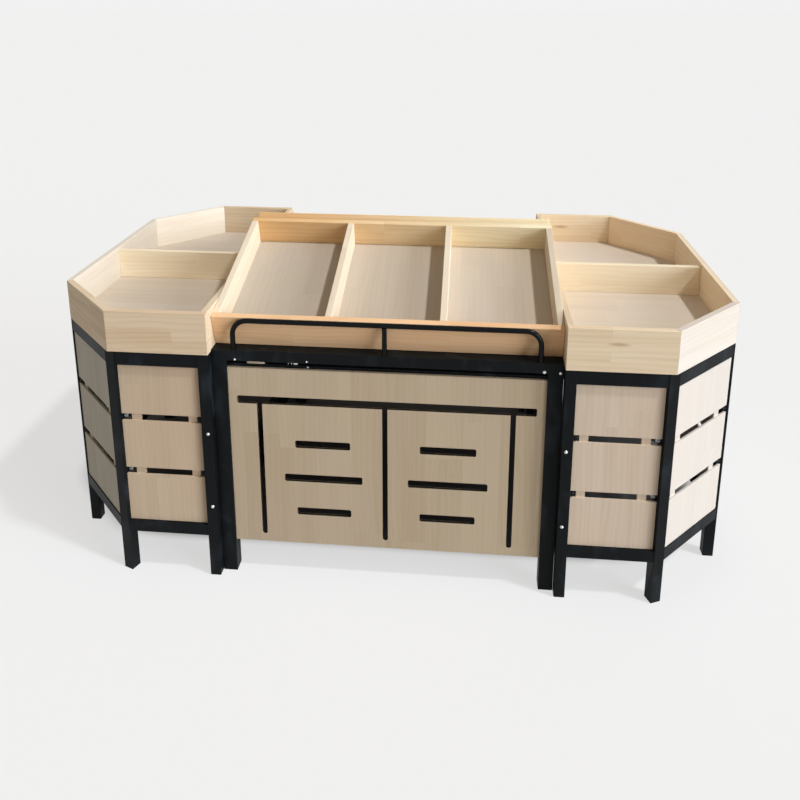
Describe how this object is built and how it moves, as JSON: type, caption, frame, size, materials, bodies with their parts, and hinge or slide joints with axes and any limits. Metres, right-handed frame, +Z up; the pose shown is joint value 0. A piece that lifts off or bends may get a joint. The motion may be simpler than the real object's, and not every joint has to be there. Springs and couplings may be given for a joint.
{
  "type": "produce display rack",
  "caption": "Free-standing produce display rack: half-octagon end tables with level wooden trays and a two-sided sloping centre table with divided trays, slotted boards and guard rails.",
  "frame": {"origin": "on the floor, under the middle of the rack", "axes": "+X to the right of a shopper at the front, along the longest side, +Y from the front to the back, +Z up"},
  "size_m": [1.9, 1.05, 0.9186],
  "materials": {
    "black_powder_coat": "satin black powder coat on welded square and round tube",
    "pale_board": "pale finger-jointed softwood board with a thin matt varnish",
    "slat_wood": "pale veneered board with upright grain and a thin matt varnish"
  },
  "bodies": {
    "rack": {"board_back": "slat_wood", "board_front": "slat_wood", "frame_centre_back_portal": "black_powder_coat", "frame_centre_front_portal": "black_powder_coat", "frame_centre_left_low_tie": "black_powder_coat", "frame_centre_left_top_tie": "black_powder_coat", "frame_centre_ridge": "black_powder_coat", "frame_centre_right_low_tie": "black_powder_coat", "frame_centre_right_top_tie": "black_powder_coat", "frame_left_back_corner": "black_powder_coat", "frame_left_front_corner": "black_powder_coat", "frame_left_inner_ladder": "black_powder_coat", "frame_left_outer_ladder": "black_powder_coat", "frame_right_back_corner": "black_powder_coat", "frame_right_front_corner": "black_powder_coat", "frame_right_inner_ladder": "black_powder_coat", "frame_right_outer_ladder": "black_powder_coat", "guard_back": "black_powder_coat", "guard_front": "black_powder_coat", "slats_left_back": "slat_wood", "slats_left_back_chamfer": "slat_wood", "slats_left_front": "slat_wood", "slats_left_front_chamfer": "slat_wood", "slats_left_side": "slat_wood", "slats_right_back": "slat_wood", "slats_right_back_chamfer": "slat_wood", "slats_right_front": "slat_wood", "slats_right_front_chamfer": "slat_wood", "slats_right_side": "slat_wood"},
    "tray_left": {"tray_left_back_chamfer_wall": "pale_board", "tray_left_back_wall": "pale_board", "tray_left_divider": "pale_board", "tray_left_floor": "pale_board", "tray_left_front_chamfer_wall": "pale_board", "tray_left_front_wall": "pale_board", "tray_left_inner_wall": "pale_board", "tray_left_side_wall": "pale_board"},
    "tray_right": {"tray_right_back_chamfer_wall": "pale_board", "tray_right_back_wall": "pale_board", "tray_right_divider": "pale_board", "tray_right_floor": "pale_board", "tray_right_front_chamfer_wall": "pale_board", "tray_right_front_wall": "pale_board", "tray_right_inner_wall": "pale_board", "tray_right_side_wall": "pale_board"},
    "tray_front": {"tray_front_floor": "pale_board", "tray_front_left_divider": "pale_board", "tray_front_left_wall": "pale_board", "tray_front_low_wall": "pale_board", "tray_front_ridge_wall": "pale_board", "tray_front_right_divider": "pale_board", "tray_front_right_wall": "pale_board"},
    "tray_back": {"tray_back_floor": "pale_board", "tray_back_left_divider": "pale_board", "tray_back_left_wall": "pale_board", "tray_back_low_wall": "pale_board", "tray_back_ridge_wall": "pale_board", "tray_back_right_divider": "pale_board", "tray_back_right_wall": "pale_board"}
  },
  "joints": [
    {"name": "lift_left", "type": "slide", "parent": "rack", "child": "tray_left", "axis": [0, 0, 1], "range_m": [0, 0.2]},
    {"name": "lift_right", "type": "slide", "parent": "rack", "child": "tray_right", "axis": [0, 0, 1], "range_m": [0, 0.2]},
    {"name": "lift_front", "type": "slide", "parent": "rack", "child": "tray_front", "axis": [0, 0, 1], "range_m": [0, 0.2]},
    {"name": "lift_back", "type": "slide", "parent": "rack", "child": "tray_back", "axis": [0, 0, 1], "range_m": [0, 0.2]}
  ]
}
